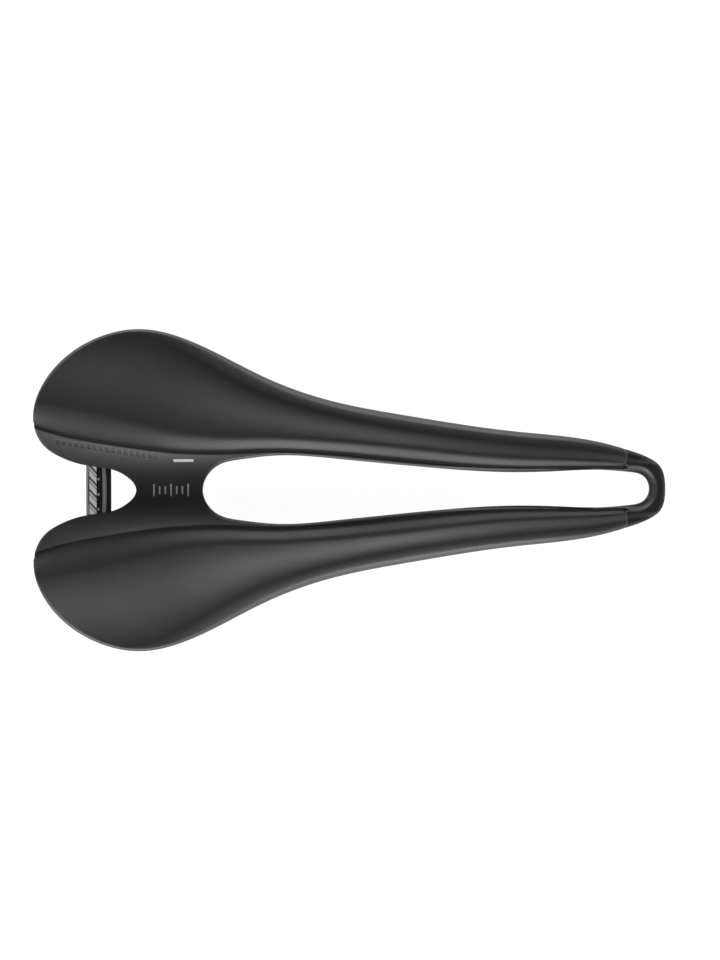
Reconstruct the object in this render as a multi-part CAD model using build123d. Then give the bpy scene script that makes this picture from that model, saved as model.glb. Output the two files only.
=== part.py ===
from build123d import *
from build123d.topology import SkipClean
import os

# Racing bicycle saddle. X points to the nose, Y to the rider's left, Z up, in millimetres.
# The origin lies midway between the two rails, at the middle of their straight clamping run.

# Overall size
REAR_X = -125.0
NOSE_X = 141.4
HALF_WIDTH = 67.9
NOTCH_X = -82.0
SLOT_X = (-54.0, 134.5)

# Padding, cover and shell
STEP_HEIGHT = 3.0
COVER_THICKNESS = 1.2
SHELL_THICKNESS = 3.0
COVER_WRAP = 4.2
PAD_FRONT_X = 125.2
FLANGE_WIDTH = 2.4
FLANGE_DEPTH = 8.0
NOSE_DEPTH = 11.0
NOSE_START_X = 123.5

# Rails
RAIL_RADIUS = 3.55
RAIL_BORE = 2.55
RAIL_HALF_GAUGE = 22.0
RAIL_STRAIGHT_X = 52.0
REAR_SOCKET_Y = 30.0
REAR_SOCKET_Z = 27.5
REAR_SOCKET_X = (-107.0, -91.0)
FRONT_SOCKET_Y = 14.3
FRONT_SOCKET_Z = 20.0
FRONT_SOCKET_X = (96.0, 112.0)
REAR_BEND_X = -80.0
FRONT_BEND_X = 86.0
RAIL_BENDS = [22, 26, 36, 26]
SLEEVE_THICKNESS = 1.0

# Rear support
SUPPORT_TOP_Z = 35.0
FLANGE_PLATE = 4.0
BAR_X = (-103.2, -92.6)
BAR_DEPTH = 6.0
BAR_HALF_LENGTH = 49.0
LABEL_THICKNESS = 0.5

# Screws, each a shank radius, a head radius and a head height
REAR_SCREW = (2.0, 3.6, 2.4)
FRONT_SCREW = (1.9, 3.3, 2.2)
REAR_SCREW_SPOTS = [(-97.9, 43.0), (-97.9, 18.6)]
FRONT_SCREW_SPOT = (118.0, 12.8)
INSERT_WALL = 1.1
INSERT_LENGTH = 4.5
POST_RADIUS = 5.0
CAP_TAB = 4.0

# Curves along the saddle, each a list of (x, value)
RIDGE_HEIGHT = [(-130, 56.5), (-100, 55.5), (-65, 51.5), (-25, 46), (15, 43.5), (55, 44.8),
                (80, 45.6), (100, 43.6), (118, 38), (132, 29.5), (141, 23), (150, 16)]
SIDE_GUIDE = [(-132, 60), (-110, 65), (-85, 68), (-72, 67.6), (-58, 62.6), (-45, 56.4),
              (-28, 47.6), (-3, 38.3), (32, 31), (78, 24.2), (113, 19.4), (128, 15.5), (150, 12)]
STEP_LINE = [(-132, 29.5), (-119, 25.1), (-109, 22.4), (-88, 18.7), (-66, 16), (-47, 15.5),
             (-23, 16.2), (2, 14.9), (28, 12.3), (58, 9.6), (78, 8.5), (108, 8.5), (150, 8.2)]
CREST_SHARE = [(-130, 0.36), (-100, 0.29), (-68, 0.18), (-47, 0.17), (-25, 0.2), (0, 0.26),
               (30, 0.32), (60, 0.31), (150, 0.3)]
SCOOP_SHARE = [(-130, 1.12), (-85, 0.96), (-47, 0.81), (-25, 0.76), (0, 0.74), (30, 0.7),
               (150, 0.68)]
SLOPE_DROP = [(-130, 6), (-100, 9.2), (-68, 10.3), (-47, 9.2), (-25, 6.2), (0, 4.4), (30, 3.2),
              (60, 2.4), (90, 1.7), (150, 1.2)]
EDGE_DROP = [(-130, 0.2), (-85, 0.4), (-68, 1), (-47, 2.4), (0, 2.4), (60, 2), (110, 1), (150, 0.8)]
PAD_DEPTH = [(-130, 8), (-20, 8), (60, 6.5), (118, 5), (150, 4)]
VALLEY_DEPTH = [(-130, 6), (-85, 6), (-66, 5), (-30, 3.8), (20, 2), (60, 1.4), (150, 1)]
SECTION_STATIONS = [-131, -122, -112, -100, -86, -72, -58, -44, -30, -15, 0, 20, 40, 60, 78,
                    92, 102, 110, 118, 125, 132, 138, 143, 149]


def along(curve, x):
    """Value at x of the smooth curve through (x, value) stations: cubic pieces with even slopes."""
    places = [place for place, _ in curve]
    values = [value for _, value in curve]
    x = min(max(x, places[0]), places[-1])
    slopes = []
    for i in range(len(curve)):
        before, after = max(i - 1, 0), min(i + 1, len(curve) - 1)
        slopes.append((values[after] - values[before]) / (places[after] - places[before]))
    i = max(k for k in range(len(curve) - 1) if places[k] <= x)
    span = places[i + 1] - places[i]
    t = (x - places[i]) / span
    rise = (2 * t**3 - 3 * t**2 + 1) * values[i] + (3 * t**2 - 2 * t**3) * values[i + 1]
    return rise + (t**3 - 2 * t**2 + t) * span * slopes[i] + (t**3 - t**2) * span * slopes[i + 1]


def smooth_step(t):
    """Rises from 0 to 1 with level ends."""
    t = min(max(t, 0), 1)
    return t * t * (3 - 2 * t)


def seat_height(x, y):
    """Top of the padding: a level crest, a slope, a flatter scoop and a falling outer edge."""
    step, side = along(STEP_LINE, x), along(SIDE_GUIDE, x)
    share = (abs(y) - step) / (side - step)
    start, scoop = 0.75 * along(CREST_SHARE, x), along(SCOOP_SHARE, x)
    fall = along(SLOPE_DROP, x) * smooth_step((share - start) / (scoop - start))
    left_over = max(0, share - scoop) / max(1 - scoop, 0.05)
    return along(RIDGE_HEIGHT, x) - fall - along(EDGE_DROP, x) * min(left_over, 1.5)**2


def shell_height(x, y):
    """Upper face of the shell: a valley between the steps, and a bed under each pad that ends
    before the nose."""
    step, side = along(STEP_LINE, x), along(SIDE_GUIDE, x)
    share = (abs(y) - step) / (side - step)
    if share < 0:
        valley = along(VALLEY_DEPTH, x) * (1 - (y / step)**2)
        return along(RIDGE_HEIGHT, x) - STEP_HEIGHT - valley
    bed = (along(PAD_DEPTH, x) - STEP_HEIGHT) * (1 - smooth_step((x - 114) / 10))
    bed *= smooth_step(share / 0.3) - 0.8 * smooth_step(share - 0.3)
    return seat_height(x, y) - STEP_HEIGHT - bed


def skin(height):
    """Smooth face over the whole saddle at height(x, y), with rows that follow its sides."""
    rows = []
    for x in SECTION_STATIONS:
        step, side = along(STEP_LINE, x), along(SIDE_GUIDE, x)
        inner = [step * share for share in (0, 0.25, 0.5, 0.75)]
        outer = [step + (side - step) * share / 8 for share in range(11)]
        spots = inner + outer
        spots = [-y for y in reversed(spots[1:])] + spots
        rows.append([Vector(x, y, height(x, y)) for y in spots])
    return Face.make_surface_from_array_of_points(rows, tol=0.05, min_deg=3, max_deg=3)


def slab(face, top, bottom):
    """Solid between a skin raised by top and the same skin raised by bottom."""
    return extrude(Pos(0, 0, top) * face, amount=top - bottom, dir=(0, 0, -1))


def plan(face):
    """Upright block with the given outline, taller than the saddle."""
    return extrude(Pos(0, 0, -10) * face, amount=90)


def beside(curve, distance, count=40):
    """Points that keep an even distance to the left of a curve seen from above."""
    spots = []
    for i in range(count + 1):
        ahead = curve % (i / count)
        spots.append(curve @ (i / count) + Vector(-ahead.Y, ahead.X) * distance)
    return spots


def half_outline(side):
    """Left half, from rear to front, of the even closed curve through its left side's points."""
    right = [(x, -y) for x, y in reversed(side[1:-1])]
    return Spline(*side, *right, periodic=True).trim(0, side[-1])


def even_outline(side, grow=0):
    """Smooth closed outline, the same on both sides, moved outwards by grow."""
    half = half_outline(side)
    if grow:
        moved = [(spot.X, spot.Y) for spot in beside(half, grow)[1:-1]]
        half = half_outline([(side[0][0] - grow, 0), *moved, (side[-1][0] + grow, 0)])
    return make_face([half, mirror(half, Plane.XZ)])


def body_outline(grow=0):
    """Outline from above: rear notch, round wings, narrowing arms and the nose."""
    side = [(NOTCH_X, 0), (-88.8, 7.4), (-104, 10.7), (-114, 14.1), (-121, 19), (REAR_X, 28),
            (-119.2, 47.8), (-104, 61.5), (-80, HALF_WIDTH), (-58.4, 62.6), (-28, 47.6),
            (-3, 38.3), (32.5, 31), (78, 24.2), (113.5, 19.6), (124, 16.8), (133.7, 13.3),
            (139.1, 9.5), (NOSE_X, 0)]
    return even_outline(side, grow)


def slot_outline(grow=0):
    """Long opening from the bridge to the nose loop."""
    side = [(SLOT_X[0], 0), (-48.3, 9.9), (-38, 12.9), (-23.1, 14.5), (2, 13.1), (27.5, 10.5),
            (57.8, 7.8), (78, 7), (96, 7.4), (112, 7.9), (126, 6.95), (132.2, 5.1),
            (SLOT_X[1], 0)]
    return even_outline(side, grow)


def pad_area(margin=0):
    """Everything left of the left step line and behind the pad's round front end."""
    edge = Spline((-132, 29.5), (-119, 25.1), (-109, 22.4), (-88, 18.7), (-66, 16), (-47, 15.5),
                  (-23, 16.2), (2, 14.9), (28, 12.3), (58, 9.6), (78, 8.5), (98, 8.3),
                  (113, 8.5), (121, 9.4), (PAD_FRONT_X, 14), (PAD_FRONT_X - 1.5, 22))
    if margin:
        edge = Spline(*beside(edge, margin))
    start, end = edge @ 0, edge @ 1
    rest = Polyline(end, (end.X - 20, 80), (start.X, 80), start)
    return make_face([edge, rest])


def rail_path():
    """Centre line of the left rail: rear socket, straight clamping run, front socket."""
    points = [(REAR_SOCKET_X[0] + 1, REAR_SOCKET_Y, REAR_SOCKET_Z),
              (REAR_BEND_X, REAR_SOCKET_Y, REAR_SOCKET_Z),
              (-RAIL_STRAIGHT_X, RAIL_HALF_GAUGE, 0),
              (RAIL_STRAIGHT_X, RAIL_HALF_GAUGE, 0),
              (FRONT_BEND_X, FRONT_SOCKET_Y, FRONT_SOCKET_Z),
              (FRONT_SOCKET_X[1] - 1, FRONT_SOCKET_Y, FRONT_SOCKET_Z)]
    return FilletPolyline(*points, radius=RAIL_BENDS)


def rail():
    """Left rail, a bent round tube open at both ends."""
    path = rail_path()
    start = Plane(path @ 0, z_dir=path % 0)
    ring = start * (Circle(RAIL_RADIUS) - Circle(RAIL_BORE))
    return sweep(ring, path=path)


def rod(x_range, y, z, radius):
    """Round bar along X."""
    start = Plane((x_range[0], y, z), x_dir=(0, 1, 0), z_dir=(1, 0, 0))
    return extrude(start * Circle(radius), amount=x_range[1] - x_range[0])


def rail_plug(end_x, inward, y, z):
    """Plug pressed into a rail's open end: a thin rim over the tube and a stem inside it."""
    rim = rod(sorted((end_x, end_x - inward * 0.8)), y, z, RAIL_RADIUS)
    stem = rod(sorted((end_x, end_x + inward * 6)), y, z, RAIL_BORE)
    return rim + stem


def sleeve(x_range, y, z):
    """Thin sleeve between a rail's end and its socket."""
    return rod(x_range, y, z, RAIL_RADIUS + SLEEVE_THICKNESS) - rod(x_range, y, z, RAIL_RADIUS)


def screw(spot, under_head_z, length, sizes):
    """Round-head screw, driven upwards, with a hexagon socket in its head."""
    shank, head, height = sizes
    x, y = spot
    body = Pos(x, y, under_head_z) * extrude(Circle(shank), amount=length)
    cap = Pos(x, y, under_head_z - height) * extrude(Circle(head), amount=height)
    cap = fillet(cap.edges().group_by(Axis.Z)[0], height * 0.5)
    drive = extrude(RegularPolygon(shank * 0.75, 6), amount=height * 0.6)
    return body + cap - Pos(x, y, under_head_z - height) * drive


def insert(spot, low_z, high_z, sizes):
    """Threaded insert: a short tube round the screw's shank."""
    ring = Circle(sizes[0] + INSERT_WALL) - Circle(sizes[0])
    return Pos(*spot, low_z) * extrude(ring, amount=high_z - low_z)


def rear_boss(bed):
    """Posts under each wing, down to the rear support, for its screws."""
    posts = Part()
    for x, y in REAR_SCREW_SPOTS:
        post = Pos(x, y, SUPPORT_TOP_Z) * extrude(Circle(POST_RADIUS), amount=30)
        bore = Circle(REAR_SCREW[0] + INSERT_WALL)
        bore = Pos(x, y, SUPPORT_TOP_Z) * extrude(bore, amount=INSERT_LENGTH)
        posts += post - bore
    return posts & bed


def front_boss(bed, inside):
    """Block under each arm: upper half of the rail's front socket, and the cap screw's bore."""
    low, high = FRONT_SOCKET_X[0], FRONT_SCREW_SPOT[0] + 4.5
    block = Pos((low + high) / 2, 13.5, FRONT_SOCKET_Z + 10) * Box(high - low, 14, 20)
    block = block & bed & inside
    block -= rod(FRONT_SOCKET_X, FRONT_SOCKET_Y, FRONT_SOCKET_Z, RAIL_RADIUS + SLEEVE_THICKNESS)
    bore = Circle(FRONT_SCREW[0] + INSERT_WALL)
    return block - Pos(*FRONT_SCREW_SPOT, FRONT_SOCKET_Z) * extrude(bore, amount=INSERT_LENGTH)


def front_cap(inside):
    """Cap that holds the rail's front end up in its socket, with a tab for one screw."""
    low, high = FRONT_SOCKET_X[0], FRONT_SCREW_SPOT[0] + 4.5
    cup = rod(FRONT_SOCKET_X, FRONT_SOCKET_Y, FRONT_SOCKET_Z, RAIL_RADIUS + SLEEVE_THICKNESS + 2)
    tab = Pos((low + high) / 2, 13.5, FRONT_SOCKET_Z - CAP_TAB / 2) * Box(high - low, 11, CAP_TAB)
    lower = Pos((low + high) / 2, 13.5, FRONT_SOCKET_Z - 10) * Box(high - low, 30, 20)
    cap = (cup + tab) & lower & inside
    cap -= rod(FRONT_SOCKET_X, FRONT_SOCKET_Y, FRONT_SOCKET_Z, RAIL_RADIUS + SLEEVE_THICKNESS)
    return cap - Pos(*FRONT_SCREW_SPOT, 0) * extrude(Circle(FRONT_SCREW[0] + 0.2), amount=40)


def rear_support():
    """Crossbar under the wings with a rail socket and two screw flanges on each side."""
    low, high = BAR_X
    reach, bow = BAR_HALF_LENGTH, 1.0
    front = ThreePointArc((high - bow, reach), (high, 0), (high - bow, -reach))
    back = ThreePointArc((low + bow, -reach), (low, 0), (low + bow, reach))
    ends = [Line(front @ 1, back @ 0), Line(back @ 1, front @ 0)]
    bar = extrude(Pos(0, 0, SUPPORT_TOP_Z - BAR_DEPTH) * make_face([front, back] + ends),
                  amount=BAR_DEPTH)
    socket_middle = sum(REAR_SOCKET_X) / 2
    for side in (1, -1):
        tube = rod(REAR_SOCKET_X, REAR_SOCKET_Y, REAR_SOCKET_Z, 7)
        web = Pos(socket_middle, REAR_SOCKET_Y, (SUPPORT_TOP_Z + REAR_SOCKET_Z) / 2) \
            * Box(16, 14, SUPPORT_TOP_Z - REAR_SOCKET_Z)
        bore = rod(REAR_SOCKET_X, REAR_SOCKET_Y, REAR_SOCKET_Z, RAIL_RADIUS + SLEEVE_THICKNESS)
        ear = tube + web
        if side < 0:
            ear, bore = mirror(ear, Plane.XZ), mirror(bore, Plane.XZ)
        bar = bar + ear - bore
        for x, y in REAR_SCREW_SPOTS:
            hole = Pos(x, side * y, 0) * extrude(Circle(REAR_SCREW[0] + 0.2), amount=60)
            recess = Pos(x, side * y, 0) * extrude(Circle(REAR_SCREW[1] + 0.4),
                                                   amount=SUPPORT_TOP_Z - FLANGE_PLATE)
            bar -= hole + recess
    return bar - label_blank()


def label_blank():
    """Space of the label strip, let into the crossbar's top near its rear edge."""
    return Pos(BAR_X[0] + 2.9, 0, SUPPORT_TOP_Z - LABEL_THICKNESS / 2) \
        * Box(3, 24, LABEL_THICKNESS)


def shell(seat_bed, outline, inset, slot):
    """Moulded shell: plate, slot flanges, nose loop, wing posts and front blocks."""
    pads = pad_area() + mirror(pad_area(), Plane.XZ)
    area = outline - ((outline - inset) & pads) - slot
    behind_nose = Pos(NOSE_START_X - 150, 0) * Rectangle(300, 200)
    ring = slot_outline(FLANGE_WIDTH)
    body = slab(seat_bed, 0, -NOSE_DEPTH) & plan(area)
    body -= slab(seat_bed, -SHELL_THICKNESS, -40) & plan(behind_nose - ring)
    body -= slab(seat_bed, -FLANGE_DEPTH, -40) & plan(behind_nose)
    bed = slab(seat_bed, -0.5, -60)
    posts = rear_boss(bed)
    body = body + posts + mirror(posts, Plane.XZ)
    arm = plan(body_outline(-COVER_THICKNESS - 0.8) - slot_outline(0.6))
    block = front_boss(bed, arm)
    return body + block + mirror(block, Plane.XZ)


def pad_and_cover(seat, seat_bed, outline, inset):
    """Left foam pad, and the cover that lies on it and wraps round the shell's edge."""
    area = outline & pad_area()
    inner_area = inset & pad_area(COVER_THICKNESS)
    above_bed = slab(seat_bed, 40, 0)
    whole = slab(seat, 0, -30) & plan(area) & above_bed
    pad = slab(seat, -COVER_THICKNESS, -30) & plan(inner_area) & above_bed
    rim = slab(seat_bed, 0, -COVER_WRAP) & plan((outline - inset) & pad_area())
    return pad, (whole - pad) + rim


def save(name, *solids):
    """Write one named sub-part."""
    shape = solids[0] if len(solids) == 1 else Compound(children=list(solids))
    export_step(shape, os.path.join("parts", name + ".step"))


def both_sides(shape):
    """A left-hand piece and its right-hand twin."""
    return shape, mirror(shape, Plane.XZ)


def rail_ends():
    """Each left rail end: its position, and the direction along X that leads into the rail."""
    rear = (REAR_SOCKET_X[0] + 1, 1, REAR_SOCKET_Y, REAR_SOCKET_Z)
    front = (FRONT_SOCKET_X[1] - 1, -1, FRONT_SOCKET_Y, FRONT_SOCKET_Z)
    return [rear, front]


def save_pair(name, left):
    """Write a left-hand sub-part and its right-hand twin."""
    for side, shape in zip(("left", "right"), both_sides(left)):
        save(name + "_" + side, shape)


def save_group(name, left_shapes):
    """Write small identical pieces of both sides as one sub-part."""
    save(name, *[twin for shape in left_shapes for twin in both_sides(shape)])


def build():
    """Build every sub-part and write it."""
    outline, slot = body_outline(), slot_outline()
    inset = body_outline(-COVER_THICKNESS)
    seat, seat_bed = skin(seat_height), skin(shell_height)
    save("shell", shell(seat_bed, outline, inset, slot))
    pad, cover = pad_and_cover(seat, seat_bed, outline, inset)
    save_pair("pad", pad)
    save_pair("cover", cover)
    save_pair("rail", rail())
    save("rear_support", rear_support())
    save("crossbar_label", label_blank())
    save_pair("rear_sleeve", sleeve(REAR_SOCKET_X, REAR_SOCKET_Y, REAR_SOCKET_Z))
    save_pair("front_sleeve", sleeve(FRONT_SOCKET_X, FRONT_SOCKET_Y, FRONT_SOCKET_Z))
    save_pair("front_cap", front_cap(plan(body_outline(-2) - slot_outline(0.6))))
    save_group("rail_plugs", [rail_plug(*end) for end in rail_ends()])
    flange_z, tab_z = SUPPORT_TOP_Z - FLANGE_PLATE, FRONT_SOCKET_Z - CAP_TAB
    save_group("rear_screws", [screw(spot, flange_z, FLANGE_PLATE + INSERT_LENGTH - 0.5, REAR_SCREW)
                               for spot in REAR_SCREW_SPOTS])
    save_group("front_screws", [screw(FRONT_SCREW_SPOT, tab_z, CAP_TAB + INSERT_LENGTH - 0.5,
                                      FRONT_SCREW)])
    save_group("rear_inserts", [insert(spot, SUPPORT_TOP_Z, SUPPORT_TOP_Z + INSERT_LENGTH,
                                       REAR_SCREW) for spot in REAR_SCREW_SPOTS])
    save_group("front_inserts", [insert(FRONT_SCREW_SPOT, FRONT_SOCKET_Z,
                                        FRONT_SOCKET_Z + INSERT_LENGTH, FRONT_SCREW)])


os.makedirs("parts", exist_ok=True)
with SkipClean():
    build()
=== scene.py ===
import math

import bpy
import numpy as np
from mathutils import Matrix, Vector


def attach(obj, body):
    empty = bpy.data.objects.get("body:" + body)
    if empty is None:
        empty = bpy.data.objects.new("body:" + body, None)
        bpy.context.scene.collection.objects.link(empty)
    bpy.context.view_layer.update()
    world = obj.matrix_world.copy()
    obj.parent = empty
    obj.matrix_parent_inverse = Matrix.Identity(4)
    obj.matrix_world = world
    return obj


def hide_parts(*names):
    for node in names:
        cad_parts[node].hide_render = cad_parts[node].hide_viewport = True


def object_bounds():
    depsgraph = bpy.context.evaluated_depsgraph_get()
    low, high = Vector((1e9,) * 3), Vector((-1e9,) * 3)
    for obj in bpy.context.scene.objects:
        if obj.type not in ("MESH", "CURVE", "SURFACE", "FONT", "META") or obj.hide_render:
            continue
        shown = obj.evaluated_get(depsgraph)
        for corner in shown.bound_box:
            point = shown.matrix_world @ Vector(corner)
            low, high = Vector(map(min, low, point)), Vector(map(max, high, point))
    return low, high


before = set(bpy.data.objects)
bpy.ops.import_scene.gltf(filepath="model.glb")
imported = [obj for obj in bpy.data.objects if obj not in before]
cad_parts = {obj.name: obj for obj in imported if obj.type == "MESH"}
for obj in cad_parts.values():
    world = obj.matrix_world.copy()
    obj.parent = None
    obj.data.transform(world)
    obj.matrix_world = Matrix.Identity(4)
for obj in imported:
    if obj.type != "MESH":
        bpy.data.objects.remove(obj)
cad_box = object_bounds()

# Lengths below are millimetres in the saddle's own frame: X to the nose, Y to the left, Z up.
MM = 0.001

# ---------------------------------------------------------------- stations of the saddle's shape
# Left side of the outline, from the rear notch round the wing to the nose.
BODY_SIDE = [(-82, 0), (-88.8, 7.4), (-104, 10.7), (-114, 14.1), (-121, 19), (-125, 28),
             (-119.2, 47.8), (-104, 61.5), (-80, 67.9), (-58.4, 62.6), (-28, 47.6), (-3, 38.3),
             (32.5, 31), (78, 24.2), (113.5, 19.6), (124, 16.8), (133.7, 13.3), (139.1, 9.5), (141.4, 0)]
# Left side of the long slot, from the bridge to the nose loop.
SLOT_SIDE = [(-54, 0), (-48.3, 9.9), (-38, 12.9), (-23.1, 14.5), (2, 13.1), (27.5, 10.5),
             (57.8, 7.8), (78, 7), (96, 7.4), (112, 7.9), (126, 6.95), (132.2, 5.1), (134.5, 0)]
# Which slot station faces which outline station, for lines drawn across the shell.
ACROSS_SHELL = [(0, 0), (1, 0.12), (3, 0.32), (5, 0.55), (7, 0.85), (8, 1), (9, 1.5), (10, 2.7),
                (11, 3.8), (12, 5.2), (13, 7), (14, 9.1), (15, 9.85), (16, 10.7), (17, 11.3), (18, 12)]
# Which place on the step line faces which outline station, for lines drawn across a pad.
ACROSS_PAD = [(5.06, -124.5), (6, -111), (7, -92), (8, -74), (9, -56), (10, -28), (11, -3),
              (12, 32.5), (13, 78), (14, 113), (15.15, 125.2)]
# Curves along the saddle, each a list of (x, value).
RIDGE_HEIGHT = [(-130, 56.5), (-100, 55.5), (-65, 51.5), (-25, 46), (15, 43.5), (55, 44.8),
                (80, 45.6), (100, 43.6), (118, 38), (132, 29.5), (141, 23), (150, 16)]
SIDE_GUIDE = [(-132, 60), (-110, 65), (-85, 68), (-72, 67.6), (-58, 62.6), (-45, 56.4),
              (-28, 47.6), (-3, 38.3), (32, 31), (78, 24.2), (113, 19.4), (128, 15.5), (150, 12)]
STEP_LINE = [(-132, 29.5), (-119, 25.1), (-109, 22.4), (-88, 18.7), (-66, 16), (-47, 15.5),
             (-23, 16.2), (2, 14.9), (28, 12.3), (58, 9.6), (78, 8.5), (108, 8.5), (150, 8.2)]
CREST_SHARE = [(-130, 0.36), (-100, 0.29), (-68, 0.18), (-47, 0.17), (-25, 0.2), (0, 0.26),
               (30, 0.32), (60, 0.31), (150, 0.3)]
SCOOP_SHARE = [(-130, 1.12), (-85, 0.96), (-47, 0.81), (-25, 0.76), (0, 0.74), (30, 0.7),
               (150, 0.68)]
SLOPE_DROP = [(-130, 6), (-100, 9.2), (-68, 10.3), (-47, 9.2), (-25, 6.2), (0, 4.4), (30, 3.2),
              (60, 2.4), (90, 1.7), (150, 1.2)]
EDGE_DROP = [(-130, 0.2), (-85, 0.4), (-68, 1), (-47, 2.4), (0, 2.4), (60, 2), (110, 1), (150, 0.8)]
PAD_DEPTH = [(-130, 8), (-20, 8), (60, 6.5), (118, 5), (150, 4)]
VALLEY_DEPTH = [(-130, 6), (-85, 6), (-66, 5), (-30, 3.8), (20, 2), (60, 1.4), (150, 1)]
STEP_HEIGHT = [(-130, 3), (-50, 3), (0, 2.4), (60, 2), (90, 1.6), (125, 1.4), (150, 1.4)]
COVER_THICKNESS = 1.1
SHELL_THICKNESS = 3.0
FLANGE_WIDTH = 2.4
FLANGE_DEPTH = 8.0
NOSE_DEPTH = 11.0
NOSE_START_X = 123.5
# Front end of the covers, and the narrow channel beside the step that their edges are tucked in.
COVER_FRONT_X = 125.2
CHANNEL_OFFSET, CHANNEL_WIDTH, CHANNEL_DEPTH = 0.9, 0.8, 1.5
# Outline stations between which the shell stands back under the covers, and how far.
COVERED_STATIONS = (4.9, 15.05)
COVERED_SETBACK = 1.4
# Hem of a cover from its rim to its lower edge: share of the fall, and distance tucked inwards.
HEM = [(0.25, -0.05), (0.5, 0.1), (0.75, 0.35), (0.92, 0.8), (1.0, 1.5)]
# Screw posts and rail blocks under the shell. Their upper ends are this far inside its plate.
DEPTH_IN_PLATE = 1.6
POST_PLACES = [(-97.9, 43), (-97.9, 18.6), (-97.9, -18.6), (-97.9, -43)]
POST_BORE_RADIUS, POST_RADIUS, POST_BEVEL = 3.12, 5.0, 0.4
POST_FOOT = 35.0
BLOCK_FOOT = 20.0
BLOCK_START_X, SOCKET_END_X, BLOCK_END_X = 96, 112, 122.5
BLOCK_INNER_Y, BLOCK_OUTER_Y, BLOCK_SETBACK = 8.3, 20.5, 1.9
SOCKET_RADIUS, SOCKET_Y = 4.6, 14.3

# Widths and heights of the rounded borders of a pad, as (x, value).
INNER_ROLL_HEIGHT = [(-130, 3), (-100, 3.2), (-50, 3.2), (0, 2.7), (60, 2.2), (90, 1.7), (125, 1.2)]
OUTER_ROLL_WIDTH = [(-130, 1.3), (-68, 1.4), (-40, 2.2), (-20, 2.6), (90, 2.4), (125, 1.6)]
OUTER_ROLL_HEIGHT = [(-130, 2), (-68, 2), (-20, 2.4), (90, 2.2), (125, 1.2)]
# How far the slot's upper edge stands back from its lower lip, as (x, width).
SLOT_LIP = [(-130, 0), (40, 0), (66, 1.0), (104, 1.0), (114, 0.3), (122, 0.6), (131, 1.9), (150, 1.9)]


# ---------------------------------------------------------------- curves
def along(curve, x):
    """Smooth curve through (x, value) stations: cubic Hermite pieces whose slope at each station
    is the rise between its two neighbours over their distance, level with the ends outside."""
    places, values = np.array(curve, float).T
    before = np.maximum(np.arange(len(places)) - 1, 0)
    after = np.minimum(np.arange(len(places)) + 1, len(places) - 1)
    slopes = (values[after] - values[before]) / (places[after] - places[before])
    x = np.clip(x, places[0], places[-1])
    i = np.clip(np.searchsorted(places, x, side="right") - 1, 0, len(places) - 2)
    span = places[i + 1] - places[i]
    t = (x - places[i]) / span
    rise = (2 * t**3 - 3 * t**2 + 1) * values[i] + (3 * t**2 - 2 * t**3) * values[i + 1]
    return rise + (t**3 - 2 * t**2 + t) * span * slopes[i] + (t**3 - t**2) * span * slopes[i + 1]


def loop_point(side, station):
    """Point at a fractional station of the even closed curve through a left side and its mirror
    image: a periodic cubic spline, with the chord lengths between points as its parameter."""
    left = np.array(side, float)
    points = np.vstack([left, (left * (1, -1))[-2:0:-1]])
    count = len(points)
    ahead = np.roll(points, -1, axis=0)
    chord = np.linalg.norm(ahead - points, axis=1)
    back = np.roll(chord, 1)
    rows = np.arange(count)
    system = np.zeros((count, count))
    system[rows, rows] = 2 * (back + chord)
    system[rows, (rows - 1) % count] += back
    system[rows, (rows + 1) % count] += chord
    rate = (ahead - points) / chord[:, None]
    bend = np.linalg.solve(system, 6 * (rate - np.roll(rate, 1, axis=0)))
    i = np.floor(station).astype(int) % count
    j = (i + 1) % count
    h = chord[i][:, None]
    t = (station - np.floor(station))[:, None]
    low, high = (1 - t) * h, t * h
    curve = bend[i] * low**3 / (6 * h) + bend[j] * high**3 / (6 * h)
    return curve + (points[i] / h - bend[i] * h / 6) * low + (points[j] / h - bend[j] * h / 6) * high


def smooth_step(t):
    """Rises from 0 to 1 with level ends."""
    t = np.clip(t, 0, 1)
    return t * t * (3 - 2 * t)


def roll(share):
    """Quarter circle: 1 at share 0, falling to 0 at share 1 and beyond."""
    return 1 - np.sqrt(1 - (1 - np.clip(share, 0, 1))**2)


# ---------------------------------------------------------------- heights
def share_across(x, y):
    """0 on the step line, 1 on the saddle's side, negative in the bare valley."""
    step = along(STEP_LINE, x)
    return (np.abs(y) - step) / (along(SIDE_GUIDE, x) - step)


def seat_height(x, y):
    """Top of the padding: level crest, slope down to a flatter scoop, and falling outer edge."""
    share = share_across(x, y)
    start, scoop = 0.75 * along(CREST_SHARE, x), along(SCOOP_SHARE, x)
    fall = along(SLOPE_DROP, x) * smooth_step((share - start) / (scoop - start))
    left_over = np.maximum(0, share - scoop) / np.maximum(1 - scoop, 0.05)
    return along(RIDGE_HEIGHT, x) - fall - along(EDGE_DROP, x) * np.minimum(left_over, 1.5)**2


def shell_height(x, y):
    """Upper face of the shell: a parabolic valley between the steps, and a bed under each pad
    that ends before the nose."""
    share = share_across(x, y)
    valley = along(VALLEY_DEPTH, x) * (1 - (y / along(STEP_LINE, x))**2)
    step_height = along(STEP_HEIGHT, x)
    bare = along(RIDGE_HEIGHT, x) - step_height - valley
    depth = (along(PAD_DEPTH, x) - step_height) * (1 - smooth_step((x - 114) / 10))
    bed = depth * (smooth_step(share / 0.3) - 0.8 * smooth_step(share - 0.3))
    return np.where(share < 0, bare, seat_height(x, y) - step_height - bed)


def shell_top(x, y):
    """Shell's upper face with a narrow round channel just outside the step, where the cover's
    edge is tucked in."""
    channel = np.exp(-((np.abs(y) - along(STEP_LINE, x) - CHANNEL_OFFSET) / CHANNEL_WIDTH)**2)
    return shell_height(x, y) - CHANNEL_DEPTH * channel * (1 - smooth_step((x - NOSE_START_X) / 3))


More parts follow.
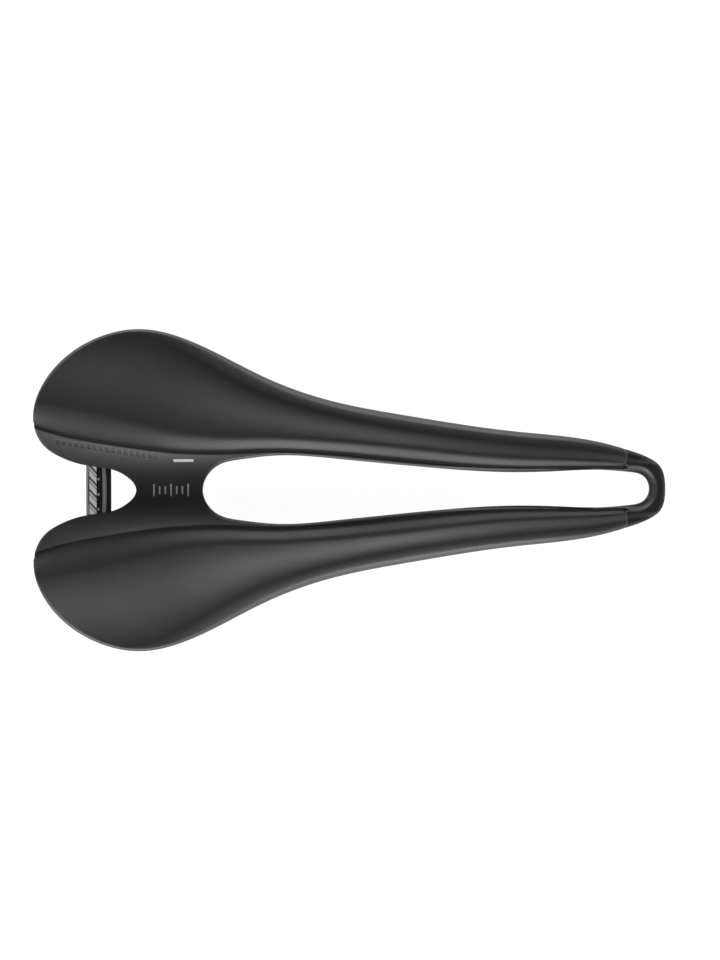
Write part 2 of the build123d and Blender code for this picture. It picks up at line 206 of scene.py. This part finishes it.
# ---------------------------------------------------------------- meshes
def mesh_object(name, points, faces):
    """Object at the origin with smooth faces, from millimetre points and rows of corner numbers."""
    mesh = bpy.data.meshes.new(name)
    mesh.from_pydata((points.reshape(-1, 3) * MM).tolist(), [], faces.tolist())
    mesh.polygons.foreach_set("use_smooth", np.ones(len(faces), bool))
    mesh.update()
    piece = bpy.data.objects.new(name, mesh)
    bpy.context.scene.collection.objects.link(piece)
    return piece


def grid_faces(rows, columns, round_rows=False, round_columns=False):
    """Corner numbers of the four-sided faces of a grid, closed round either way if asked."""
    i = np.arange(rows if round_rows else rows - 1)[:, None]
    j = np.arange(columns if round_columns else columns - 1)[None, :]
    i_next, j_next = (i + 1) % rows, (j + 1) % columns
    corners = [i * columns + j, i_next * columns + j, i_next * columns + j_next,
               i * columns + j_next]
    return np.stack(np.broadcast_arrays(*corners), axis=-1).reshape(-1, 4)


def capped_faces(rows, columns):
    """Faces of a tube of sections, each an upper row and a lower row on the way back, with both
    ends closed by strips between the rows."""
    i = np.arange(columns // 2 - 1)
    cap = np.stack([i, i + 1, columns - 2 - i, columns - 1 - i], axis=-1)
    return np.concatenate([grid_faces(rows, columns, False, True), cap,
                           cap[:, ::-1] + (rows - 1) * columns])


def both_sides(left):
    """Rows of a left half, then the same rows mirrored on the way back, without repeats."""
    right = left[-2:0:-1] * (1, -1, 1)
    return np.concatenate([left, right])


# ---------------------------------------------------------------- shell
def shell_body():
    """Moulded shell as a closed ring of cross sections. Each section starts at the slot's upper
    edge, falls there by a quarter circle, crosses to the outer edge with another quarter circle,
    and returns below at the shell's depth: thin plate, deeper flange by the slot, full depth at
    the nose. The flange's wall then steps out to a lower lip in the slot. Two values are stored on
    its points: a painted highlight along the slot's upper edge at the nose and on the lower lip,
    and 1 on the upper face."""
    outer_station = np.linspace(0, 18, 380)
    slot_station = along(ACROSS_SHELL, outer_station)
    opening = loop_point(SLOT_SIDE, slot_station)
    outer = loop_point(BODY_SIDE, outer_station)
    across = outer - opening
    across = across / np.linalg.norm(across, axis=1)[:, None]
    lip = along(SLOT_LIP, opening[:, 0])[:, None]
    inner = opening + across * lip
    first, last = COVERED_STATIONS
    covered = smooth_step((outer_station - first) / 0.3) * smooth_step((last - outer_station) / 0.3)
    width = np.linalg.norm(outer - inner, axis=1)[:, None] - COVERED_SETBACK * covered[:, None]
    trial = inner[:, None, :] + across[:, None, :] * (width * np.linspace(0, 1, 201))[..., None]
    beyond = share_across(trial[..., 0], trial[..., 1]) > 0
    foot = np.where(beyond.any(axis=1), beyond.argmax(axis=1) / 200, 0.85)
    foot = np.clip(foot, 0.15, 0.85)[:, None]
    near, far = np.linspace(0, 1, 37), np.linspace(0, 1, 25)[1:]
    share = np.concatenate([foot * (0.5 - 0.5 * np.cos(np.pi * near)),
                            foot + (1 - foot) * (0.5 - 0.5 * np.cos(np.pi * far))], axis=1)
    reach = share * width
    plan = inner[:, None, :] + across[:, None, :] * reach[..., None]
    x, y = plan[..., 0], plan[..., 1]
    nose = smooth_step((x - NOSE_START_X) / 3)
    height = shell_top(x, y)
    left_over = width - reach
    top_roll = (0.9 + 0.9 * nose) * roll(reach / (1.1 + 1.1 * nose))
    top_roll = top_roll + (0.8 + 0.4 * nose) * roll(left_over / (0.9 + 0.8 * nose))
    flange = 1 - smooth_step((reach - FLANGE_WIDTH) / 1.2)
    depth = SHELL_THICKNESS + (FLANGE_DEPTH - SHELL_THICKNESS) * flange * smooth_step((x + 56) / 6)
    depth = depth + (NOSE_DEPTH - depth) * nose
    under_roll = (0.9 + nose) * (roll(reach / (1 + nose)) + roll(left_over / (1 + nose)))
    top = np.stack([x, y, height - top_roll], axis=-1)
    under = np.stack([x, y, height - depth + under_roll], axis=-1)[:, ::-1]
    wall = []
    for down, stand in ((0.94, 0.5), (0.86, 1), (0.66, 1), (0.6, 0.85), (0.56, 0.5), (0.5, 0.12),
                        (0.42, 0), (0.3, 0)):
        place = inner - across * lip * stand
        level = height[:, :1] - depth[:, :1] * down
        wall.append(np.concatenate([place, level], axis=1)[:, None])
    rings = both_sides(np.concatenate([top, under] + wall, axis=1))
    # Painted highlight: a light band just inside the slot's upper edge at the nose, and light on the
    # slot's lower lip.
    edge = np.exp(-((reach - 0.9) / 0.6)**2) * nose
    painted_highlight = np.concatenate([edge, 0 * x, 0.8 * np.tile(smooth_step(lip), (1, 8))], axis=1)
    upper = np.concatenate([0 * x + 1, 0 * x, np.zeros((len(x), 8))], axis=1)
    body = mesh_object("shell_body", rings, grid_faces(*rings.shape[:2], True, True))
    for name, left in (("painted_edge_highlight", painted_highlight), ("upper_face", upper)):
        values = np.concatenate([left, left[-2:0:-1]])
        layer = body.data.attributes.new(name, "FLOAT", "POINT")
        layer.data.foreach_set("value", values.astype(np.float32).ravel())
    return body


def joined(name, shapes):
    """One crisp-edged piece from several (points, faces) shapes that don't touch."""
    starts = np.cumsum([0] + [len(points) for points, faces in shapes])
    faces = np.concatenate([faces + start for (points, faces), start in zip(shapes, starts)])
    piece = mesh_object(name, np.concatenate([points for points, faces in shapes]), faces)
    piece.data.set_sharp_from_angle(angle=math.radians(40))
    return piece


def screw_posts():
    """Hollow round posts from the wings down to the crossbar. Each is a closed profile of radius
    and height, turned round the screw: bore, foot, bevelled edge, side, and an end inside the
    shell's plate."""
    turn = np.linspace(0, 2 * np.pi, 48, endpoint=False)[:, None]
    radius = np.array([POST_BORE_RADIUS, POST_RADIUS - POST_BEVEL, POST_RADIUS, POST_RADIUS,
                       POST_BORE_RADIUS])
    foot = np.array([0, 0, POST_BEVEL, 0, 0])
    in_plate = np.array([0, 0, 0, 1, 1])
    shapes = []
    for post_x, post_y in POST_PLACES:
        x, y = post_x + radius * np.cos(turn), post_y + radius * np.sin(turn)
        z = (POST_FOOT + foot) * (1 - in_plate) + (shell_top(x, y) - DEPTH_IN_PLATE) * in_plate
        points = np.stack([x, y, z], axis=-1).reshape(-1, 3)
        shapes.append((points, grid_faces(*x.shape, True, True)))
    return joined("screw_posts", shapes)


def rail_blocks():
    """Block under each arm, from inside the shell's plate down to the cap. Its lower face is level,
    with a half-round socket along the rail."""
    x = np.concatenate([np.linspace(BLOCK_START_X, SOCKET_END_X, 24),
                        np.linspace(SOCKET_END_X + 0.02, BLOCK_END_X, 16)])[:, None]
    outer = np.minimum(BLOCK_OUTER_Y, along(SIDE_GUIDE, x) - BLOCK_SETBACK)
    y = BLOCK_INNER_Y + (outer - BLOCK_INNER_Y) * np.linspace(0, 1, 33)
    socket = np.sqrt(np.maximum(0, SOCKET_RADIUS**2 - (y - SOCKET_Y)**2)) * (x < SOCKET_END_X + 0.01)
    upper = np.stack([x + 0 * y, y, shell_top(x, y) - DEPTH_IN_PLATE], axis=-1)
    lower = np.stack([x + 0 * y, y, BLOCK_FOOT + socket], axis=-1)[:, ::-1]
    rings = np.concatenate([upper, lower], axis=1)
    points, faces = rings.reshape(-1, 3), capped_faces(*rings.shape[:2])
    return joined("rail_blocks", [(points, faces), (points * (1, -1, 1), faces[:, ::-1])])


# ---------------------------------------------------------------- padded tongues
def tongue_places(side, inset, rows):
    """Places on the step line and on the outline that face each other, from rear to front, moved
    inwards by inset. side is 1 for left and -1 for right."""
    station, step_x = np.array(ACROSS_PAD, float).T
    t = np.linspace(0, 1, rows)
    t = t - 0.8 * np.sin(2 * np.pi * t) / (2 * np.pi)
    place = station[0] + (station[-1] - station[0]) * t
    x = along(list(zip(station, step_x)), place)
    inner = np.stack([x, along(STEP_LINE, x)], axis=1)
    outer = loop_point(BODY_SIDE, place)
    across = outer - inner
    width = np.linalg.norm(across, axis=1)[:, None]
    across = across / np.maximum(width, 0.01)
    front = np.clip((inner[:, :1] - inner[-1, 0] + 3) / 3, 0, 1)
    corner = 1 - np.sqrt(1 - front**2)
    inner, outer = inner + across * (inset + 3.4 * corner), outer - across * (inset + corner)
    return inner * (1, side), outer * (1, side)


def tongue_top(x, y, from_step, from_side, from_end, sink):
    """Height of a tongue: the seat's height less a smooth step between crest and channel that is
    steeper near the channel, and less a quarter ellipse at the outer side and at the ends."""
    crest = 1.15 * along(CREST_SHARE, x) * (along(SIDE_GUIDE, x) - along(STEP_LINE, x))
    rise = np.clip((from_step - 1) / (crest - 1), 0, 1)**0.75
    fall = along(INNER_ROLL_HEIGHT, x) * (1 - smooth_step(rise))
    fall = fall + along(OUTER_ROLL_HEIGHT, x) * roll(from_side / along(OUTER_ROLL_WIDTH, x))
    end = 1.2 * roll(from_end / 0.8)
    return seat_height(x, y) - fall - end - sink


def tongue_grid(side, inset, sink, rows=420, columns=72):
    """Grid of x, y and height over one tongue, with closer columns near the step and the side."""
    inner, outer = tongue_places(side, inset, rows)
    share = 0.5 - 0.5 * np.cos(np.linspace(0, np.pi, columns))
    plan = inner[:, None, :] + (outer - inner)[:, None, :] * share[None, :, None]
    width = np.linalg.norm(outer - inner, axis=1)[:, None]
    x, y = plan[..., 0], plan[..., 1]
    middle = plan.mean(axis=1)
    front = COVER_FRONT_X - inset - x
    rear = np.linalg.norm(middle - middle[0], axis=1)[:, None] + 0 * x
    from_end = np.minimum(np.maximum(front, 0), rear + 0.8)
    top = tongue_top(x, y, share * width, (1 - share) * width, from_end, sink)
    return x, y, top


def cover_skin(name, side):
    """Cover of one side: a sheet that starts on the shell at the step, rises round the border,
    crosses the seat, falls down the outer side and tucks under the shell's edge. A modifier gives
    it thickness."""
    x, y, top = tongue_grid(side, 0, 0)
    bed = shell_top(x, y)
    top = np.maximum(top, bed + 0.05)
    start = np.stack([x[:, 0], y[:, 0], bed[:, 0] - 0.6], axis=-1)[:, None]
    sheet = np.stack([x, y, top], axis=-1)
    ahead = np.gradient(sheet[:, -1, :2], axis=0)
    outward = side * np.stack([-ahead[:, 1], ahead[:, 0]], axis=1)
    outward = outward / np.maximum(np.linalg.norm(outward, axis=1), 1e-6)[:, None]
    foot = bed[:, -1] - SHELL_THICKNESS - COVER_THICKNESS
    edge = top[:, -1]
    wall = []
    for down, tuck in HEM:
        place = sheet[:, -1, :2] - outward * tuck
        wall.append(np.concatenate([place, (edge + (foot - edge) * down)[:, None]], axis=1)[:, None])
    points = np.concatenate([start, sheet] + wall, axis=1)
    faces = grid_faces(*points.shape[:2])
    if side < 0:
        faces = faces[:, ::-1]
    piece = mesh_object(name, points, faces)
    thickness = piece.modifiers.new("cover thickness", "SOLIDIFY")
    thickness.thickness = COVER_THICKNESS * MM
    thickness.offset = -1
    return piece


def pad_core(name, side):
    """Foam under one cover: the same seat lowered by the cover, closed by the shell's bed."""
    x, y, top = tongue_grid(side, COVER_THICKNESS + 0.3, COVER_THICKNESS + 0.1, 220, 40)
    bed = shell_top(x, y) + 0.05
    top = np.maximum(top, bed + 0.02)
    upper = np.stack([x, y, top], axis=-1)
    lower = np.stack([x, y, bed], axis=-1)[:, ::-1]
    rings = np.concatenate([upper, lower], axis=1)
    faces = capped_faces(*rings.shape[:2])
    if side < 0:
        faces = faces[:, ::-1]
    return mesh_object(name, rings, faces)


# ---------------------------------------------------------------- shader tools
class Value:
    """A node's output or a number, on which Python arithmetic adds Math nodes."""

    def __init__(self, finish, socket):
        self.finish, self.socket = finish, socket

    def math(self, operation, *others, first=None):
        values = [self if first is None else first, *others]
        inputs = dict(enumerate(values))
        return self.finish.node("ShaderNodeMath", {"operation": operation}, inputs)

    def __add__(self, other):
        return self.math("ADD", other)

    def __mul__(self, other):
        return self.math("MULTIPLY", other)

    def __sub__(self, other):
        return self.math("SUBTRACT", other)

    def __rsub__(self, other):
        return self.math("SUBTRACT", self, first=other)

    def __truediv__(self, other):
        return self.math("DIVIDE", other)

    __radd__, __rmul__ = __add__, __mul__

    def power(self, other):
        return self.math("POWER", other)

    def absolute(self):
        return self.math("ABSOLUTE")

    def above(self, edge, softness):
        """0 below an edge and 1 above it, over a soft width."""
        settings = {"interpolation_type": "SMOOTHSTEP", "clamp": True}
        inputs = {"Value": self, "From Min": edge - softness, "From Max": edge + softness}
        return self.finish.node("ShaderNodeMapRange", settings, inputs)

    def below(self, edge, softness):
        return 1 - self.above(edge, softness)


class Finish:
    """One material and its nodes."""

    def __init__(self, name, **settings):
        self.material = bpy.data.materials.new(name)
        self.material.use_nodes = True
        self.tree = self.material.node_tree
        self.shader = self.tree.nodes["Principled BSDF"]
        for socket, value in settings.items():
            self.shader.inputs[socket.replace("_", " ")].default_value = value
        self.place = self.node("ShaderNodeTexCoord", {}, {}, "Object")

    def node(self, kind, settings, inputs, output=0):
        """Adds a node, sets its settings, fills or links its sockets, and returns an output."""
        made = self.tree.nodes.new(kind)
        for name, value in settings.items():
            setattr(made, name, value)
        for name, value in inputs.items():
            self.feed(made.inputs[name], value)
        return Value(self, made.outputs[output])

    def feed(self, socket, value):
        if isinstance(value, Value):
            self.tree.links.new(value.socket, socket)
        else:
            socket.default_value = value

    def shade(self, socket, value):
        self.feed(self.shader.inputs[socket], value)

    def noise(self, scale, detail=2, roughness=0.5, stretch=(1, 1, 1)):
        """Soft random pattern from 0 to 1, in object space, stretched along the axes."""
        place = self.node("ShaderNodeMapping", {}, {"Vector": self.place, "Scale": stretch})
        inputs = {"Vector": place, "Scale": scale, "Detail": detail, "Roughness": roughness}
        return self.node("ShaderNodeTexNoise", {}, inputs)

    def axes(self):
        """The three object coordinates, in millimetres."""
        parts = self.node("ShaderNodeSeparateXYZ", {}, {0: self.place})
        split = parts.socket.node
        return [Value(self, split.outputs[k]) * (1 / MM) for k in range(3)]

    def layer(self, name):
        """Value stored on the mesh's points under a name."""
        return self.node("ShaderNodeAttribute", {"attribute_name": name}, {}, "Fac")

    def mix(self, share, low, high):
        """Colour between two colours."""
        settings = {"data_type": "RGBA"}
        return self.node("ShaderNodeMix", settings, {0: share, 6: low, 7: high}, 2)

    def bump(self, height, distance, strength=1.0):
        """Raises the surface by height times distance, in metres."""
        inputs = {"Height": height, "Distance": distance, "Strength": strength}
        self.shade("Normal", self.node("ShaderNodeBump", {}, inputs))


def grey(level, warmth=0.0):
    """Neutral colour of a given linear level, slightly warm or cool."""
    return (level * (1 + warmth), level, level * (1 - warmth), 1)


# ---------------------------------------------------------------- finishes
def cover_finish():
    """Black microfibre: very fine pebble grain, faint tone changes and uneven roughness."""
    finish = Finish("cover microfibre", Specular_IOR_Level=0.38)
    grain = finish.noise(5200, 3, 0.6)
    pebble = finish.noise(1150, 2, 0.5)
    cloud = finish.noise(38, 3, 0.55)
    tone = grain * 0.35 + cloud * 0.35 + pebble * 0.3
    finish.shade("Base Color", finish.mix(tone, grey(0.018, 0.01), grey(0.044, 0.01)))
    finish.shade("Roughness", 0.40 + cloud * 0.10 + grain * 0.10)
    finish.bump(grain * 0.5 + pebble * 0.5, 0.00012, 0.6)
    return finish


def box_mask(x, y, centre, half_size, softness=0.08):
    """1 inside a rectangle given by its centre and half size, 0 outside."""
    inside_x = (x - centre[0]).absolute().below(half_size[0], softness)
    return inside_x * (y - centre[1]).absolute().below(half_size[1], softness)


def shell_finish():
    """Satin black nylon: fine spark grain, a painted highlight at the slot's edges, a plain printed
    gauge mark on the bridge, a short printed bar beside it, and a row of pressed dashes on the left
    strip, whose near-black colour is painted shade in their recesses."""
    finish = Finish("shell nylon", Specular_IOR_Level=0.38)
    x, y, z = finish.axes()
    painted_highlight, upper = finish.layer("painted_edge_highlight"), finish.layer("upper_face")
    grain = finish.noise(4200, 3, 0.6)
    cloud = finish.noise(45, 3, 0.5)
    tone = grain * 0.4 + cloud * 0.6
    base = finish.mix(tone, grey(0.017, 0.01), grey(0.042, 0.01))
    bare_nose = x.above(123, 1)
    base = finish.mix(bare_nose, base, grey(0.006))
    # Painted highlight: light grey mixed in where the mesh stores it, at the slot's edges.
    base = finish.mix(painted_highlight, base, grey(0.11))
    print_mask = None
    for number, half_length in enumerate((2.6, 1.7, 1.7, 2.6, 1.7, 1.7, 2.6)):
        bar = box_mask(x, y, (-74.5 + 2.4 * number, 0), (0.32, half_length))
        print_mask = bar if print_mask is None else print_mask + bar
    print_mask = print_mask + box_mask(x, y, (-62, 12.4), (4.2, 0.55))
    print_mask = print_mask * upper
    slope = (x + 94.5) * -0.16
    along_strip = (x + 116) / 2.6
    dash = along_strip.math("FRACT") - 0.5
    row = (dash.absolute()).below(0.3, 0.08) * (y - 17.4 - slope).absolute().below(0.9, 0.15)
    row = row * (x + 94.5).absolute().below(21, 0.1) * upper
    # Pressed dashes: dented by the bump below, and coloured near black inside as painted shade in their
    # recesses.
    base = finish.mix(row * 0.75, base, grey(0.006))
    finish.shade("Base Color", finish.mix(print_mask * 0.9, base, grey(0.55)))
    finish.shade("Roughness", 0.36 + cloud * 0.10 + grain * 0.08)
    finish.bump(grain * 0.25 + (1 - row) * 1.0, 0.0003, 0.5)
    return finish


def foam_finish():
    """Dark moulded foam with small cells."""
    finish = Finish("pad foam", Roughness=0.9)
    cells = finish.noise(900, 2, 0.5)
    finish.shade("Base Color", finish.mix(cells, grey(0.03), grey(0.07)))
    finish.shade("Roughness", 0.82 + cells * 0.12)
    finish.bump(cells, 0.0004, 0.5)
    return finish


def rail_finish():
    """Stainless tube, finely brushed along its length, with faint handling marks."""
    finish = Finish("rail steel", Metallic=1.0)
    brushed = finish.noise(900, 3, 0.6, (0.05, 1, 1))
    marks = finish.noise(60, 4, 0.6)
    finish.shade("Base Color", finish.mix(marks, grey(0.44, 0.01), grey(0.58, 0.01)))
    finish.shade("Roughness", 0.24 + brushed * 0.14 + marks * 0.08)
    finish.bump(brushed, 0.00006, 0.4)
    return finish


def support_finish():
    """Black painted metal with soft orange peel. On the crossbar's top, a light band along the rib
    is a painted highlight, the grey rear edge is painted lighter against the shade it sits in, both
    slightly bowed, and three small bright dots are painted glints, slightly raised by the bump."""
    finish = Finish("support paint", Roughness=0.35)
    x, y, z = finish.axes()
    peel = finish.noise(700, 2, 0.5)
    wear = finish.noise(160, 4, 0.65)
    base = finish.mix(wear, grey(0.006), grey(0.016))
    bow = 0.5 - y * y * 0.004
    top = z.above(34.5, 0.2)
    # Painted highlight: a light grey band along the rib, on the top face only.
    painted_rib_highlight = (x + 95.9 - bow).absolute().below(0.8, 0.12)
    # Rear edge: grey, and painted lighter than that to make up for the shade it sits in.
    edge = (x + 102.6 + bow).absolute().below(0.8, 0.15)
    # Painted glints: three small bright dots on the top face, also slightly raised by the bump.
    spacing = ((y / 6.4 + 0.766).math("FRACT") - 0.5) * 6.4
    painted_glint = (spacing * spacing + (x + 98.0) * (x + 98.0)).below(0.3, 0.12)
    base = finish.mix(edge * top, base, grey(0.7))
    base = finish.mix(painted_rib_highlight * top, base, grey(0.62))
    finish.shade("Base Color", finish.mix(painted_glint * top, base, grey(0.8)))
    finish.shade("Roughness", 0.30 + wear * 0.15)
    finish.bump(peel + painted_glint * top * 3, 0.0001, 0.3)
    return finish


def label_finish():
    """Bright film with plain slanted grey bars, which also gives off a faint painted glow of its own
    colour.
    """
    # Painted glow: emission makes the film shine though it is no lamp.
    finish = Finish("label film with painted glow", Metallic=0.0, Emission_Strength=0.22)
    x, y, z = finish.axes()
    slant = (y + x * 1.1) / 5.2
    share = slant.math("FRACT")
    bar = (share - 0.5).absolute().below(0.13, 0.03) + (share - 0.16).absolute().below(0.05, 0.02)
    fleck = finish.noise(2600, 2, 0.5)
    silver = finish.mix(fleck, grey(0.78), grey(0.92))
    film = finish.mix(bar, silver, grey(0.13))
    finish.shade("Base Color", film)
    # Painted glow: the film's colour is emitted as light, at the strength set above.
    finish.shade("Emission Color", film)
    finish.shade("Roughness", 0.34 + fleck * 0.12)
    finish.bump(fleck, 0.00004, 0.3)
    return finish


def plain_finish(name, low, high, roughness, metallic=0.0, scale=900, depth=0.0001):
    """Small hardware: two close tones, uneven roughness and a fine surface texture."""
    finish = Finish(name, Metallic=metallic)
    grain = finish.noise(scale, 3, 0.6)
    wear = finish.noise(140, 4, 0.6)
    finish.shade("Base Color", finish.mix(wear, low, high))
    finish.shade("Roughness", roughness + wear * 0.12 + grain * 0.06)
    finish.bump(grain, depth, 0.4)
    return finish


# ---------------------------------------------------------------- put together
def dress(piece, finish):
    """Gives a piece one finish all over."""
    piece.data.materials.clear()
    piece.data.materials.append(finish.material)


def add_piece(piece, finish, slot, *nodes):
    """A visible piece in place of CAD nodes."""
    dress(piece, finish)
    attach(piece, "root")
    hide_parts(*nodes)


cover_cloth, foam = cover_finish(), foam_finish()
add_piece(shell_body(), shell_finish(), "shell_plastic", "shell")
for side_name, side in (("left", 1), ("right", -1)):
    cover = cover_skin("cover_skin_" + side_name, side)
    add_piece(cover, cover_cloth, "cover_fabric", "cover_" + side_name)
    pad = pad_core("pad_core_" + side_name, side)
    add_piece(pad, foam, "pad_foam", "pad_" + side_name)

black_plastic = plain_finish("moulded black nylon", grey(0.012), grey(0.03), 0.42)
add_piece(screw_posts(), black_plastic, "shell_plastic", "shell")
add_piece(rail_blocks(), black_plastic, "shell_plastic", "shell")
rubber = plain_finish("sleeve rubber", grey(0.016), grey(0.034), 0.7)
black_steel = plain_finish("black oxide steel", grey(0.05), grey(0.11), 0.34, 0.9)
brass = plain_finish("insert brass", (0.62, 0.42, 0.16, 1), (0.74, 0.54, 0.24, 1), 0.3, 1.0)
rail_steel = rail_finish()
CARRIED = {
    "rail_left": rail_steel, "rail_right": rail_steel,
    "rear_support": support_finish(), "crossbar_label": label_finish(),
    "rear_sleeve_left": rubber, "rear_sleeve_right": rubber,
    "front_sleeve_left": rubber, "front_sleeve_right": rubber,
    "front_cap_left": black_plastic, "front_cap_right": black_plastic,
    "front_screws": black_steel, "rear_screws": black_steel,
    "front_inserts": brass, "rear_inserts": brass, "rail_plugs": black_plastic,
}
for node, finish in CARRIED.items():
    dress(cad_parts[node], finish)


# ---------------------------------------------------------------- studio
def floor():
    """Pale floor under the rails, bright enough to read as clean white."""
    edge, low = 20000.0, cad_box[0].z / MM
    points = np.array([(-edge, -edge, low), (edge, -edge, low), (edge, edge, low), (-edge, edge, low)])
    piece = mesh_object("floor", points, np.array([[0, 1, 2, 3]]))
    finish = Finish("floor white", Base_Color=grey(0.12), Roughness=1.0, Emission_Strength=0.96)
    finish.shader.inputs["Emission Color"].default_value = (1, 1, 1, 1)
    dress(piece, finish)


def softbox(name, place, size, power):
    """Rectangular soft light aimed at the saddle."""
    data = bpy.data.lights.new(name, "AREA")
    data.shape, data.size, data.size_y, data.energy = "RECTANGLE", size[0], size[1], power
    lamp = bpy.data.objects.new(name, data)
    lamp.location = place
    lamp.rotation_euler = (-Vector(place)).to_track_quat("-Z", "Y").to_euler()
    bpy.context.scene.collection.objects.link(lamp)


def studio():
    """Low soft light from the rider's right, weaker from the left, and a dim sky."""
    floor()
    softbox("right softbox", (-0.2, -1.2, 0.30), (1.8, 0.4), 35)
    softbox("left softbox", (-0.1, 1.2, 0.18), (1.8, 0.3), 20)
    world = bpy.data.worlds.new("studio")
    world.use_nodes = True
    world.node_tree.nodes["Background"].inputs["Color"].default_value = (1, 1, 1, 1)
    world.node_tree.nodes["Background"].inputs["Strength"].default_value = 0.21
    bpy.context.scene.world = world
    bpy.context.scene.view_settings.view_transform = "Standard"


def camera():
    """Long lens straight above the saddle, nose to the right."""
    height, field = 8.0, 0.4045
    data = bpy.data.cameras.new("camera")
    data.sensor_width = 36
    data.lens = data.sensor_width * (height - 0.045) / field
    data.clip_end = 60
    eye = bpy.data.objects.new("camera", data)
    eye.location = (0.01235, 0.00396, height)
    eye.rotation_euler = (0, 0, math.radians(-0.2))
    bpy.context.scene.collection.objects.link(eye)
    bpy.context.scene.camera = eye


studio()
camera()
